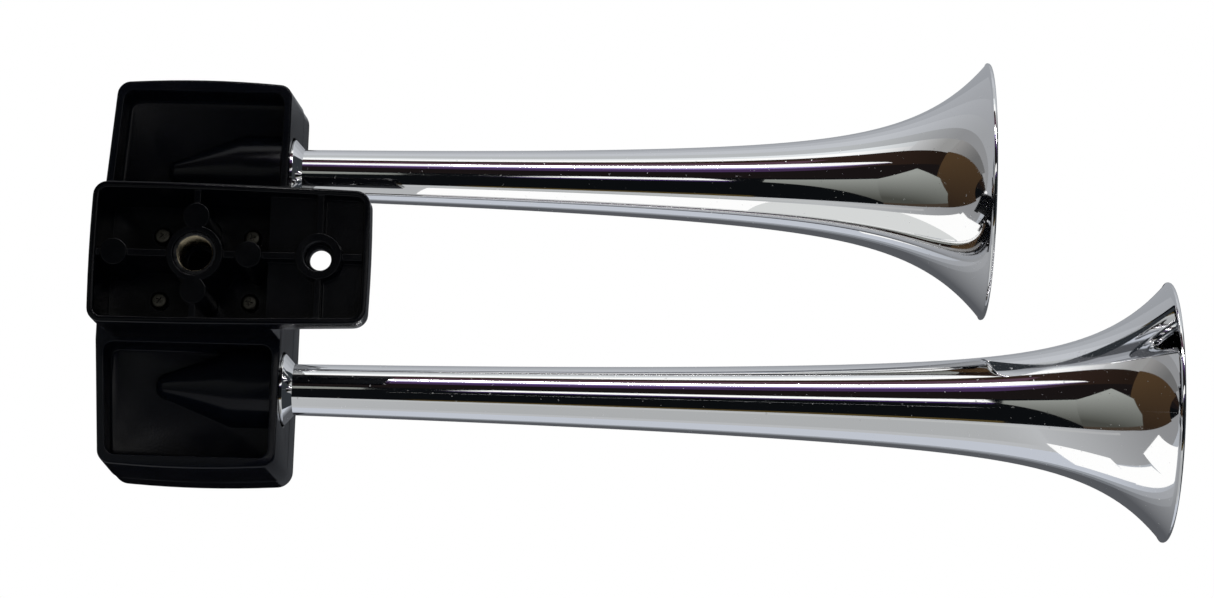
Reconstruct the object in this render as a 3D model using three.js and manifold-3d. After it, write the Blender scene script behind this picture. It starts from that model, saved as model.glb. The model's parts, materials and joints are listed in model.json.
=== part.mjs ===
// A dual-trumpet air horn for a truck roof or a boat, in millimetres, +Z up, +X towards the mouths.
// The origin lies on the mounting plane, midway between the supply port and the bolt hole.
import * as THREE from "three";
import { mergeVertices } from "three/addons/utils/BufferGeometryUtils.js";
import Module from "manifold-3d";

const wasm = await Module();
wasm.setup();

// Shared clearances and overruns
const seatGap = 0.3; // between pieces that bear on each other
const screwClearance = 0.35; // around a screw in its hole
const overrun = 2; // how far a cut passes the face that it opens
const bite = 0.8; // how far a rib or boss sinks into the wall that carries it
const weldDistance = 1e-4; // corners that lie closer are one corner

// Steps around a full circle
const screwSteps = 8;
const coarseSteps = 12;
const mediumSteps = 18;
const fineSteps = 28;
const trumpetSteps = 32;

// Mounting foot
const portToBolt = 59;
const portX = -portToBolt / 2;
const boltX = portToBolt / 2;
const footBackMargin = 49.8;
const footFrontMargin = 23.4;
const footBack = portX - footBackMargin;
const footFront = boltX + footFrontMargin;
const footHalfWidth = 34.1; // at its back end
const footTaper = 2.1; // by which it is narrower at its front end
const footSideBow = 0.8;
const footEndBow = 0.7;
const footCornerRadius = 6.5;
const footWall = 3.1;
const footHeight = 47.2;
const footCeiling = 4;
const footDraft = 0.8;
const plateHeight = 14;
const plateThickness = 4;
const ribThickness = 3.4;
const ribRecess = 1.2;
const padRadius = 6.4;
const backPadOffset = 38.7; // from the port's centre, as the next two
const frontPadOffset = 25.6;
const sidePadOffset = 18;
const boltHoleRadius = 5.2;
const boltShoulder = 2; // by which the recess under the bolt hole is wider
const boltRecessRadius = boltHoleRadius + boltShoulder;
const boltRecessDepth = 9;
const boltBossWall = 3.9;
const boltBossRadius = boltRecessRadius + boltBossWall;

// Supply port
const portRadius = 8.3;
const insertWall = 2.1;
const insertRadius = portRadius + insertWall;
const portBossWall = 3.1;
const portBossRadius = insertRadius + portBossWall;
const insertLength = 22;
const insertRecess = 0.8;
const supplyRadius = 6;
const sealMargin = 1.2; // between the passage and its seal
const sealWidth = 2.8;
const sealInnerRadius = supplyRadius + sealMargin;
const sealOuterRadius = sealInnerRadius + sealWidth;
const sealHeight = 2;

// Foot screws
const footScrewOffsetX = 22;
const footScrewOffsetY = 16;
const footScrewRadius = 2.5;
const footScrewHeadRadius = 4.4;
const footScrewHeadHeight = 3.6;
const footScrewReach = 12; // into the manifold
const footPostWall = 3.7;
const footPostRadius = footScrewRadius + footPostWall;

// Trumpet sockets and the heights that follow from them
const trumpetSpacing = 108;
const trumpetY = trumpetSpacing / 2;
const rimHeight = footHeight + seatGap;
const socketRadius = 18.4;
const socketRimWall = 1.1; // between a socket and the rim below it
const trumpetHeight = rimHeight + socketRadius + socketRimWall;
const socketDepth = 5;
const trayFloorRise = 1; // above the trumpets' axes, as the next one
const deckRise = 23;
const trayFloor = trumpetHeight + trayFloorRise;
const deckHeight = trumpetHeight + deckRise;

// Pressure chambers
const chamberBehindPort = 8.5;
const chamberX = portX - chamberBehindPort;
const chamberRadius = 25;
const clampWidth = 9;
const flangeRadius = chamberRadius + clampWidth;
const chamberDepth = 16;
const chamberFloor = deckHeight - chamberDepth;
const galleryRadius = 5.5;
const galleryWall = 3;
const galleryDepth = 11;
const galleryHeight = deckHeight - galleryDepth;
const supplyWall = 4.5;
const gasketThickness = 1.2;
const diaphragmThickness = 0.4;
const diaphragmRadius = flangeRadius - 2 * seatGap;
const capFlange = 4;
const capDomeWall = 2.5;
const capDomeRadius = chamberRadius + capDomeWall;
const capDomeHeight = 7;
const capHollow = 5.5;
const capScrewCircle = chamberRadius + clampWidth / 2;
const capScrewCount = 6;
const capScrewRadius = 2;
const capScrewHeadRadius = 3.4;
const capScrewHeadHeight = 3;
const capScrewReach = 9;

// Manifold body, drawn round the chambers
const bodyWall = 4;
const bodyBackTaper = 4.2; // how much shorter the body is at its outer ends
const endMargin = 2.8; // between a chamber's flange and the wall at the wing's end
const backMargin = 2.8; // the same at the back
const bodyFront = 7.4;
const bodyBack = chamberX - flangeRadius - backMargin - bodyWall - bodyBackTaper;
const bodyHalfLength = trumpetY + flangeRadius + endMargin + bodyWall;
const bodyEndBow = 1.9;
const bodyCornerRadius = 5.8;
const bodyDraftShare = 0.03; // sideways growth for each millimetre of height
const webThickness = 4;
const trayClearance = 1.3; // from the foot's side to the tray beside it
const trayInnerSide = footHalfWidth + trayClearance;
const trayCornerRadius = 5;
const coreFloor = 5.5;
const coreWall = 4;

// Throats
const throatBossWall = 0.6;
const throatBossRadius = socketRadius + throatBossWall;
const throatBossLength = 24.6;
const throatConeStart = bodyFront - throatBossLength;
const throatTipReach = 17; // behind the chamber's middle
const throatTip = chamberX - throatTipReach;
const throatTipRadius = 6.5;
const throatTipLength = 6;
const throatTipShares = [0.25, 0.62]; // of the tip's length and radius, where it rounds over
const spigotRadius = 12;
const spigotLength = 21.6;
const spigotEnd = bodyFront - spigotLength;
const throatShoulder = 1.6; // by which the throat is narrower than the spigot
const throatRadius = spigotRadius - throatShoulder;
const nozzleRadius = 5.5;
const nozzleWall = 4;

// Top cover
const coverHeight = 28;
const coverTop = deckHeight + coverHeight;
const coverRounding = 9;
const coverWall = 3;
const coverCrown = 1; // extra height in the middle of the top
const coverPostOffsetX = 28; // from the chamber's middle
const coverPostInset = 6.4; // from the body's wall
const coverPostY = bodyHalfLength - bodyWall - coverPostInset;
const coverScrewRadius = 1.9;
const coverPostWall = 2.7;
const coverPostRadius = coverScrewRadius + coverPostWall;
const coverScrewHeadRadius = 3.9;
const coverScrewHeadHeight = 2.4;
const coverScrewSink = 3;
const coverScrewReach = 10;

// Trumpets
const mouthRadius = 63.5;
const shortMouth = 350;
const longMouth = 439;
const hornWall = 1.5;
const lipRadius = 1.3;
const lipTurnShares = [-0.5, 0.1, 0.7]; // of a half turn, round the rolled lip
const collarClearance = 1;
const collarRadius = socketRadius - collarClearance;
const collarCylinder = 1.2; // how far the collar stands out of the casting before it tapers
const collarTaper = 4.6;
const flareFloor = 10.6; // radius that the flare would reach far from the mouth
const mouthFlare = 33; // radius gained close to the mouth
const mouthFade = 29.8;
const slowFadeShare = 0.428; // of the trumpet's length
const stationShares = [0, 0.2, 0.38, 0.53, 0.65, 0.75, 0.83, 0.89, 0.935, 0.965, 0.985, 1];

// Finishes
const glossBlack = { color: 0x0b0c0f, roughness: 0.22, metalness: 0.1 };
const chrome = { color: 0xd9dadd, roughness: 0.06, metalness: 1 };
const brass = { color: 0xb08d4a, roughness: 0.35, metalness: 1 };
const steel = { color: 0x8f9194, roughness: 0.35, metalness: 1 };
const rubber = { color: 0x17181a, roughness: 0.85, metalness: 0 };
const springSteel = { color: 0xa9abb0, roughness: 0.3, metalness: 1 };

// Turns a closed geometry into a solid that can be joined and cut.
function solidFrom(geometry) {
  const bare = geometry.clone();
  bare.deleteAttribute("normal");
  bare.deleteAttribute("uv");
  const merged = mergeVertices(bare, weldDistance);
  return new wasm.Manifold(
    new wasm.Mesh({
      numProp: 3,
      vertProperties: merged.attributes.position.array,
      triVerts: new Uint32Array(merged.index.array),
    }),
  );
}

// Turns a solid back into a flat-shaded geometry.
function geometryFrom(solid) {
  const mesh = solid.getMesh();
  const geometry = new THREE.BufferGeometry();
  geometry.setAttribute("position", new THREE.BufferAttribute(mesh.vertProperties, 3));
  geometry.setIndex(new THREE.BufferAttribute(mesh.triVerts, 1));
  const flat = geometry.toNonIndexed();
  flat.computeVertexNormals();
  return flat;
}

// An upright cylinder between two heights.
function post(x, y, radius, bottom, top, steps = coarseSteps) {
  const geometry = new THREE.CylinderGeometry(radius, radius, top - bottom, steps);
  geometry.rotateX(Math.PI / 2).translate(x, y, (top + bottom) / 2);
  return solidFrom(geometry);
}

// The hole of a screw between two heights.
function screwHole(x, y, screwRadius, bottom, top) {
  return post(x, y, screwRadius + screwClearance, bottom, top, screwSteps);
}

// A cylinder along Y between two places.
function crossRod(x, z, radius, from, to) {
  const geometry = new THREE.CylinderGeometry(radius, radius, to - from, coarseSteps);
  return solidFrom(geometry.translate(x, (from + to) / 2, z));
}

// A block between two corners.
function block(x0, x1, y0, y1, z0, z1) {
  const geometry = new THREE.BoxGeometry(x1 - x0, y1 - y0, z1 - z0);
  return solidFrom(geometry.translate((x0 + x1) / 2, (y0 + y1) / 2, (z0 + z1) / 2));
}

// A body turned about the X axis from [x, radius] points that run from the back to the front.
function turnedAlongX(profile, steps) {
  const points = profile.map(([x, radius]) => new THREE.Vector2(radius, x));
  return new THREE.LatheGeometry(points, steps).rotateZ(-Math.PI / 2).rotateX(Math.PI / 2);
}

// A body turned about the Z axis from [radius, z] points that run upwards on the outside.
function turnedAlongZ(profile, steps) {
  const points = profile.map(([radius, z]) => new THREE.Vector2(radius, z));
  return new THREE.LatheGeometry(points, steps).rotateX(Math.PI / 2);
}

// A rounded rectangle, counter-clockwise. Its ends (at the back and front) and its sides may bulge
// outwards by their bows, and its back may have stops, places across it where it can bend.
function roundedOutline(sizes) {
  const { back, front, right, left, radius, endBow = 0, sideBow = 0, backStops = [] } = sizes;
  const cornerSteps = 3;
  const sideSteps = 4;
  const points = [];
  const corners = [
    [front - radius, left - radius, 0],
    [back + radius, left - radius, Math.PI / 2],
    [back + radius, right + radius, Math.PI],
    [front - radius, right + radius, (3 * Math.PI) / 2],
  ];
  corners.forEach(([x, y, start], index) => {
    for (let step = 0; step <= cornerSteps; step++) {
      const angle = start + (step / cornerSteps) * (Math.PI / 2);
      points.push(new THREE.Vector2(x + radius * Math.cos(angle), y + radius * Math.sin(angle)));
    }
    const [nextX, nextY, nextStart] = corners[(index + 1) % corners.length];
    const from = points[points.length - 1].clone();
    const to = new THREE.Vector2(
      nextX + radius * Math.cos(nextStart),
      nextY + radius * Math.sin(nextStart),
    );
    if (index === 1) for (const stop of backStops) points.push(new THREE.Vector2(back, stop));
    const bow = index % 2 === 0 ? sideBow : endBow;
    if (bow === 0) return;
    const outward = new THREE.Vector2(to.y - from.y, from.x - to.x).normalize();
    for (let step = 1; step < sideSteps; step++) {
      const share = step / sideSteps;
      const bulge = bow * 4 * share * (1 - share);
      points.push(from.clone().lerp(to, share).addScaledVector(outward, bulge));
    }
  });
  return points;
}

// Joins outlines with equal point counts, each at its own height, into one closed body.
function loft(levels) {
  const count = levels[0].points.length;
  const positions = levels.flatMap(({ z, points }) => points.flatMap((p) => [p.x, p.y, z]));
  const index = [];
  for (let level = 0; level < levels.length - 1; level++)
    for (let i = 0; i < count; i++) {
      const next = (i + 1) % count;
      const [a, b] = [level * count + i, level * count + next];
      index.push(a, b, b + count, a, b + count, a + count);
    }
  const cap = THREE.ShapeUtils.triangulateShape(levels[0].points, []);
  const top = (levels.length - 1) * count;
  for (const [a, b, c] of cap) index.push(c, b, a, top + a, top + b, top + c);
  const geometry = new THREE.BufferGeometry();
  geometry.setAttribute("position", new THREE.Float32BufferAttribute(positions, 3));
  geometry.setIndex(index);
  return solidFrom(geometry);
}

// How wide the foot is at a place along it, as a share of its width at the back.
function footWidthShare(x) {
  return 1 - (footTaper / footHalfWidth) * ((x - footBack) / (footFront - footBack));
}

// The foot's outline, drawn in by an inset, up to a given front end.
function footOutline(inset, front) {
  return roundedOutline({
    back: footBack + inset,
    front: front - inset,
    right: -footHalfWidth + inset,
    left: footHalfWidth - inset,
    radius: footCornerRadius - Math.min(inset, footCornerRadius / 2),
    endBow: footEndBow,
    sideBow: footSideBow,
  }).map((p) => new THREE.Vector2(p.x, p.y * footWidthShare(p.x)));
}

// Moves the back of an outline forward along the wings, from beside the foot to their outer ends.
function tapered(points) {
  return points.map((p) => {
    const behindFront = (bodyFront - p.x) / (bodyFront - bodyBack);
    const outward = Math.max(0, Math.abs(p.y) - footHalfWidth) / (bodyHalfLength - footHalfWidth);
    return new THREE.Vector2(p.x + bodyBackTaper * outward * behindFront, p.y);
  });
}

// The body's outline at a height, drawn in by an inset.
function bodyOutline(z, inset) {
  const growth = bodyDraftShare * (z - rimHeight);
  const reach = growth - inset;
  return tapered(
    roundedOutline({
      back: bodyBack - reach,
      front: bodyFront + reach,
      right: -bodyHalfLength - reach,
      left: bodyHalfLength + reach,
      radius: bodyCornerRadius + Math.max(reach, -bodyCornerRadius / 2),
      sideBow: bodyEndBow,
      backStops: [footHalfWidth, -footHalfWidth],
    }),
  );
}

// A ring about the Z axis.
function ring(x, y, outer, inner, bottom, top, steps) {
  return post(x, y, outer, bottom, top, steps).subtract(
    post(x, y, inner, bottom - overrun, top + overrun, steps),
  );
}

// A screw that points down, with its head's underside at a height.
function screwDown(x, y, radius, headRadius, headHeight, seat, tip) {
  return post(x, y, headRadius, seat, seat + headHeight).add(
    post(x, y, radius, tip, seat + headHeight / 2, screwSteps),
  );
}

// A screw that points up, with its head hanging below its seat.
function screwUp(x, y, radius, headRadius, headHeight, seat, tip) {
  return post(x, y, headRadius, seat - headHeight, seat).add(
    post(x, y, radius, seat - headHeight / 2, tip, screwSteps),
  );
}

// Places of the foot screws, the cap screws of one chamber and the cover screws
const footScrewPlaces = [1, -1].flatMap((along) =>
  [1, -1].map((across) => [portX + along * footScrewOffsetX, across * footScrewOffsetY]),
);
const coverScrewPlaces = [1, -1].flatMap((along) =>
  [1, -1].map((across) => [chamberX + along * coverPostOffsetX, across * coverPostY]),
);
function capScrewPlaces(side) {
  return Array.from({ length: capScrewCount }, (_, i) => {
    const angle = ((i + 0.5) / capScrewCount) * 2 * Math.PI;
    return [
      chamberX + capScrewCircle * Math.cos(angle),
      side * trumpetY + capScrewCircle * Math.sin(angle),
    ];
  });
}

// Heights of the stack on each chamber, from the deck upwards
const gasketBottom = deckHeight + seatGap;
const gasketTop = gasketBottom + gasketThickness;
const diaphragmBottom = gasketTop + seatGap;
const diaphragmTop = diaphragmBottom + diaphragmThickness;
const capBottom = diaphragmTop + seatGap;
const capFlangeTop = capBottom + capFlange;
const nozzleTop = diaphragmBottom - seatGap;

function makeFoot() {
  const pocketTop = footHeight - footCeiling;
  const trayTop = plateHeight - plateThickness;
  const narrowed = (inset) => footOutline(inset + footDraft, bodyFront + footDraft);
  const pedestal = loft([
    { z: 0, points: footOutline(0, bodyFront) },
    { z: footHeight, points: narrowed(0) },
  ]);
  const plate = loft([
    { z: 0, points: footOutline(0, footFront) },
    { z: plateHeight, points: footOutline(0, footFront) },
  ]);
  const pocket = loft([
    { z: -overrun, points: footOutline(footWall, bodyFront) },
    { z: pocketTop, points: narrowed(footWall) },
  ]);
  const shallowTray = loft([
    { z: -overrun, points: footOutline(footWall, footFront) },
    { z: trayTop, points: footOutline(footWall, footFront) },
  ]);
  const innerFront = footFront - footWall + bite;
  const innerBack = footBack + footWall - bite;
  const innerSide = (x) => (footHalfWidth - footWall + bite) * footWidthShare(x);
  const halfRib = ribThickness / 2;
  const deep = pocketTop + bite;
  const shallow = trayTop + bite;
  const crossRib = (x, reach, top) =>
    block(x - halfRib, x + halfRib, -reach, reach, ribRecess, top);
  let foot = pedestal.add(plate).subtract(pocket).subtract(shallowTray);
  const inside = [
    post(portX, 0, portBossRadius, 0, deep, mediumSteps),
    post(portX - backPadOffset, 0, padRadius, 0, deep),
    post(portX + frontPadOffset, 0, padRadius, 0, deep),
    post(portX, sidePadOffset, padRadius, 0, deep),
    post(portX, -sidePadOffset, padRadius, 0, deep),
    post(boltX, 0, boltBossRadius, 0, shallow, mediumSteps),
    block(innerBack, bodyFront - bite, -halfRib, halfRib, ribRecess, deep),
    crossRib(portX, innerSide(portX), deep),
    block(bodyFront - footWall - bite, innerFront, -halfRib, halfRib, ribRecess, shallow),
    crossRib(boltX, innerSide(boltX), shallow),
  ];
  for (const piece of inside) foot = foot.add(piece);
  const insertEnd = insertRecess + insertLength;
  const sealSeat = footHeight + seatGap - sealHeight - 2 * seatGap;
  const cuts = [
    post(boltX, 0, boltHoleRadius, -overrun, plateHeight + overrun, mediumSteps),
    post(boltX, 0, boltRecessRadius, -overrun, boltRecessDepth, mediumSteps),
    post(portX, 0, insertRadius + seatGap, -overrun, insertEnd + seatGap, mediumSteps),
    post(portX, 0, supplyRadius, -overrun, footHeight + overrun, mediumSteps),
    post(portX, 0, sealOuterRadius + seatGap, sealSeat, footHeight + overrun, mediumSteps),
    ...footScrewPlaces.map(([x, y]) => screwHole(x, y, footScrewRadius, 0, footHeight + overrun)),
  ];
  for (const cut of cuts) foot = foot.subtract(cut);
  return foot;
}

function makeBody() {
  let body = loft([
    { z: rimHeight, points: bodyOutline(rimHeight, 0) },
    { z: deckHeight, points: bodyOutline(deckHeight, 0) },
  ]);
  const webTop = trayFloor + webThickness;
  const upperPocket = loft([
    { z: webTop, points: bodyOutline(webTop, bodyWall) },
    { z: deckHeight + overrun, points: bodyOutline(deckHeight + overrun, bodyWall) },
  ]);
  body = body.subtract(upperPocket);
  for (const side of [1, -1]) {
    const [inner, outer] = [trayInnerSide, bodyHalfLength - bodyWall];
    const trayPoints = () =>
      tapered(
        roundedOutline({
          back: bodyBack + bodyWall,
          front: bodyFront - bodyWall,
          right: side > 0 ? inner : -outer,
          left: side > 0 ? outer : -inner,
          radius: trayCornerRadius,
        }),
      );
    body = body.subtract(
      loft([
        { z: rimHeight - overrun, points: trayPoints() },
        { z: trayFloor, points: trayPoints() },
      ]),
    );
  }
  const coreSide = trayInnerSide - coreWall;
  body = body.subtract(
    loft(
      [rimHeight + coreFloor, webTop + bite].map((z) => ({
        z,
        points: roundedOutline({
          back: bodyBack + bodyWall,
          front: bodyFront - bodyWall,
          right: -coreSide,
          left: coreSide,
          radius: trayCornerRadius,
        }),
      })),
    ),
  );
  const added = [
    post(portX, 0, supplyRadius + supplyWall, rimHeight, galleryHeight, mediumSteps),
    crossRod(portX, galleryHeight, galleryRadius + galleryWall, -trumpetY / 2, trumpetY / 2),
    ...footScrewPlaces.map(([x, y]) =>
      post(x, y, footPostRadius, rimHeight, rimHeight + footScrewReach + webThickness),
    ),
    ...coverScrewPlaces.map(([x, y]) => post(x, y, coverPostRadius, trayFloor, deckHeight)),
  ];
  for (const piece of added) body = body.add(piece);
  const bossFront = bodyFront - bodyWall + bite;
  const bossProfile = [
    [throatTip, 0],
    [throatTip + throatTipShares[0] * throatTipLength, throatTipShares[1] * throatTipRadius],
    [throatTip + throatTipLength, throatTipRadius],
    [throatConeStart, throatBossRadius],
    [bossFront, throatBossRadius],
    [bossFront, 0],
  ];
  const throatProfile = [
    [chamberX, 0],
    [chamberX, nozzleRadius],
    [spigotEnd - seatGap, throatRadius],
    [spigotEnd - seatGap, spigotRadius + seatGap],
    [bodyFront - socketDepth, spigotRadius + seatGap],
    [bodyFront - socketDepth, socketRadius],
    [bodyFront + overrun, socketRadius],
    [bodyFront + overrun, 0],
  ];
  for (const side of [1, -1]) {
    const y = side * trumpetY;
    const onAxis = (profile) =>
      solidFrom(turnedAlongX(profile, fineSteps).translate(0, y, trumpetHeight));
    body = body
      .add(post(chamberX, y, flangeRadius, trayFloor, deckHeight, fineSteps))
      .subtract(post(chamberX, y, chamberRadius, chamberFloor, deckHeight + overrun, fineSteps))
      .add(onAxis(bossProfile))
      .add(post(chamberX, y, nozzleRadius + nozzleWall, trumpetHeight, nozzleTop, mediumSteps))
      .subtract(onAxis(throatProfile))
      .subtract(post(chamberX, y, nozzleRadius, trumpetHeight, nozzleTop + overrun, coarseSteps));
    for (const [px, py] of capScrewPlaces(side))
      body = body.subtract(
        screwHole(px, py, capScrewRadius, deckHeight - capScrewReach, deckHeight + overrun),
      );
  }
  const galleryReach = trumpetY - chamberRadius + overrun * 2;
  const cuts = [
    post(portX, 0, supplyRadius, rimHeight - overrun, galleryHeight, mediumSteps),
    crossRod(portX, galleryHeight, galleryRadius, -galleryReach, galleryReach),
    ...footScrewPlaces.map(([x, y]) =>
      screwHole(x, y, footScrewRadius, rimHeight - overrun, rimHeight + footScrewReach),
    ),
    ...coverScrewPlaces.map(([x, y]) =>
      screwHole(x, y, coverScrewRadius, deckHeight - coverScrewReach, deckHeight + overrun),
    ),
  ];
  for (const cut of cuts) body = body.subtract(cut);
  return body;
}

function makeCover() {
  const bottom = deckHeight + seatGap;
  const shoulder = coverTop - coverRounding;
  const roundSteps = 4;
  const outside = [{ z: bottom, points: bodyOutline(bottom, 0) }];
  for (let step = 0; step <= roundSteps; step++) {
    const angle = (step / roundSteps) * (Math.PI / 2);
    const inset = coverRounding * (1 - Math.cos(angle));
    outside.push({
      z: shoulder + coverRounding * Math.sin(angle),
      points: bodyOutline(shoulder, inset),
    });
  }
  outside.push({ z: coverTop + coverCrown, points: bodyOutline(shoulder, 2 * coverRounding) });
  const cavityTop = coverTop - coverWall;
  const innerInset = coverRounding - coverWall;
  const inside = [
    { z: bottom - overrun, points: bodyOutline(bottom, coverWall) },
    { z: shoulder, points: bodyOutline(shoulder, coverWall) },
    { z: cavityTop, points: bodyOutline(shoulder, coverWall + innerInset) },
  ];
  let cover = loft(outside).subtract(loft(inside));
  const screwSeat = coverTop - coverScrewSink;
  for (const [x, y] of coverScrewPlaces)
    cover = cover
      .add(post(x, y, coverPostRadius, bottom, coverTop - coverWall / 2))
      .subtract(screwHole(x, y, coverScrewRadius, bottom - overrun, coverTop + overrun))
      .subtract(
        post(x, y, coverScrewHeadRadius + screwClearance, screwSeat, coverTop + overrun),
      );
  return cover;
}

// One trumpet along +X from its spigot to its mouth, open through its whole length.
function makeTrumpet(mouth) {
  const collarBack = bodyFront - socketDepth + sealHeight / 2 + 2 * seatGap;
  const collarFront = bodyFront + collarCylinder;
  const flareStart = collarFront + collarTaper;
  const slowFade = slowFadeShare * (mouth - bodyFront);
  const slowFlare = mouthRadius - flareFloor - mouthFlare;
  const radiusAt = (x) => {
    const toMouth = mouth - x;
    const quick = mouthFlare * Math.exp(-toMouth / mouthFade);
    return flareFloor + quick + slowFlare * Math.exp(-toMouth / slowFade);
  };
  const stations = stationShares.map((share) => flareStart + share * (mouth - flareStart));
  const outer = stations.map((x) => [x, radiusAt(x)]);
  const inner = stations.map((x) => [x, radiusAt(x) - hornWall]).reverse();
  const lip = lipTurnShares.map((share) => [
    mouth + lipRadius * Math.sin(share * Math.PI),
    mouthRadius - lipRadius + lipRadius * Math.cos(share * Math.PI),
  ]);
  outer.pop();
  inner.shift();
  const boreAtSpigot = radiusAt(flareStart) - hornWall;
  const profile = [
    [spigotEnd, boreAtSpigot],
    [spigotEnd, spigotRadius],
    [collarBack, spigotRadius],
    [collarBack, collarRadius],
    [collarFront, collarRadius],
    ...outer,
    ...lip,
    ...inner,
    [spigotEnd, boreAtSpigot],
  ];
  return turnedAlongX(profile, trumpetSteps);
}

function makeCap(y) {
  const top = capFlangeTop + capDomeHeight;
  const soften = capFlange / 2;
  const profile = [
    [0, capBottom + capHollow],
    [chamberRadius, capBottom + capHollow],
    [chamberRadius, capBottom],
    [flangeRadius, capBottom],
    [flangeRadius, capFlangeTop],
    [capDomeRadius - soften, capFlangeTop],
    [capDomeRadius - 2 * soften, top - soften],
    [capDomeRadius - 3 * soften, top],
    [0, top],
  ];
  return solidFrom(turnedAlongZ(profile, fineSteps).translate(chamberX, y, 0));
}

const group = new THREE.Group();
group.name = "air_horn";

function place(name, shape, finish) {
  const geometry = shape.isBufferGeometry ? shape : geometryFrom(shape);
  const mesh = new THREE.Mesh(geometry, new THREE.MeshStandardMaterial(finish));
  mesh.name = name;
  group.add(mesh);
  return mesh;
}

place("mounting_foot", makeFoot(), glossBlack);
place(
  "supply_port_insert",
  ring(portX, 0, insertRadius, portRadius, insertRecess, insertRecess + insertLength, mediumSteps),
  brass,
);
place(
  "inlet_seal",
  ring(
    portX,
    0,
    sealOuterRadius,
    sealInnerRadius,
    rimHeight - seatGap - sealHeight,
    rimHeight - seatGap,
    mediumSteps,
  ),
  rubber,
);
footScrewPlaces.forEach(([x, y], i) => {
  const seat = footHeight - footCeiling - seatGap;
  const tip = rimHeight + footScrewReach - seatGap;
  const screw = screwUp(
    x,
    y,
    footScrewRadius,
    footScrewHeadRadius,
    footScrewHeadHeight,
    seat,
    tip,
  );
  place("foot_screw_" + (i + 1), screw, steel);
});
place("manifold_body", makeBody(), glossBlack);
place("top_cover", makeCover(), glossBlack);
coverScrewPlaces.forEach(([x, y], i) => {
  const screw = screwDown(
    x,
    y,
    coverScrewRadius,
    coverScrewHeadRadius,
    coverScrewHeadHeight,
    coverTop - coverScrewSink + seatGap,
    deckHeight - coverScrewReach + seatGap,
  );
  place("cover_screw_" + (i + 1), screw, steel);
});

const horns = [
  { name: "long", side: 1, mouth: longMouth },
  { name: "short", side: -1, mouth: shortMouth },
];
for (const { name, side, mouth } of horns) {
  const y = side * trumpetY;
  const trumpet = place(name + "_trumpet", makeTrumpet(mouth), chrome);
  trumpet.position.set(0, y, trumpetHeight);
  const sealBack = bodyFront - socketDepth + seatGap;
  const sealFront = sealBack + sealHeight / 2;
  const trumpetSeal = place(
    name + "_trumpet_seal",
    turnedAlongX(
      [
        [sealBack, spigotRadius + seatGap],
        [sealBack, collarRadius],
        [sealFront, collarRadius],
        [sealFront, spigotRadius + seatGap],
        [sealBack, spigotRadius + seatGap],
      ],
      fineSteps,
    ),
    rubber,
  );
  trumpetSeal.position.set(0, y, trumpetHeight);
  let gasket = ring(chamberX, y, flangeRadius, chamberRadius, gasketBottom, gasketTop, fineSteps);
  let diaphragm = post(chamberX, y, diaphragmRadius, diaphragmBottom, diaphragmTop, fineSteps);
  let cap = makeCap(y);
  for (const [px, py] of capScrewPlaces(side)) {
    const hole = screwHole(px, py, capScrewRadius, deckHeight, capFlangeTop + overrun);
    gasket = gasket.subtract(hole);
    diaphragm = diaphragm.subtract(hole);
    cap = cap.subtract(hole);
  }
  place(name + "_clamp_gasket", gasket, rubber);
  place(name + "_diaphragm", diaphragm, springSteel);
  place(name + "_chamber_cap", cap, glossBlack);
  capScrewPlaces(side).forEach(([px, py], i) => {
    const screw = screwDown(
      px,
      py,
      capScrewRadius,
      capScrewHeadRadius,
      capScrewHeadHeight,
      capFlangeTop + seatGap,
      deckHeight - capScrewReach + seatGap,
    );
    place(name + "_cap_screw_" + (i + 1), screw, steel);
  });
}

export default group;
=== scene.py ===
# %% [markdown]
# # Dressing a dual-trumpet air horn
#
# The horn has two chromed trumpets, a gloss black cast manifold with a domed cover, and a black
# mounting foot that is open underneath. The photograph looks at it from below, so the open
# undersides of the castings and the reflections along the trumpets matter most. The measured
# model is loaded first, and every piece made here takes the place of one of its nodes.

# %% Load the measured model
import json
import math

import bmesh
import bpy
from mathutils import Matrix, Vector


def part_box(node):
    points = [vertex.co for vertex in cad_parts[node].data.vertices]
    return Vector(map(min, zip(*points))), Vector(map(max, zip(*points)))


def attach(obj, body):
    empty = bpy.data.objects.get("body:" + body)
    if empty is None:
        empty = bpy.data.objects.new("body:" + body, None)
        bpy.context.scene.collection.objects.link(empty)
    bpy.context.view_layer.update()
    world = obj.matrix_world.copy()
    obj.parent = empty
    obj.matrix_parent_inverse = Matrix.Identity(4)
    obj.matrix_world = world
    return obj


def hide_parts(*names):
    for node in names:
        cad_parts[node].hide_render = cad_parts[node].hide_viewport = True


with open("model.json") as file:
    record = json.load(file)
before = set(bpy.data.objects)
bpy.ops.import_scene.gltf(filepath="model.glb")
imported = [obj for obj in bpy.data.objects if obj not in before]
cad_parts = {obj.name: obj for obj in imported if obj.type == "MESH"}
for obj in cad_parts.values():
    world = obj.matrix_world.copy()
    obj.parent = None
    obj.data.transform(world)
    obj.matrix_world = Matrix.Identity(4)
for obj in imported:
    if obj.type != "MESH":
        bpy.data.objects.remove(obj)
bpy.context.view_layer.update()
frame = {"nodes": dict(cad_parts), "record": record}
nodes = frame["nodes"]
print("nodes loaded:", len(nodes))
MM = 0.001

# %% [markdown]
# ## The camera
#
# The camera stands where the photographer stood, a metre and a half below the horn and a little
# to one side. Its three directions were found by fitting the two bell mouths, the foot's hole and
# port and the casting's corners, so they are written as they came out of that fit.

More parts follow.
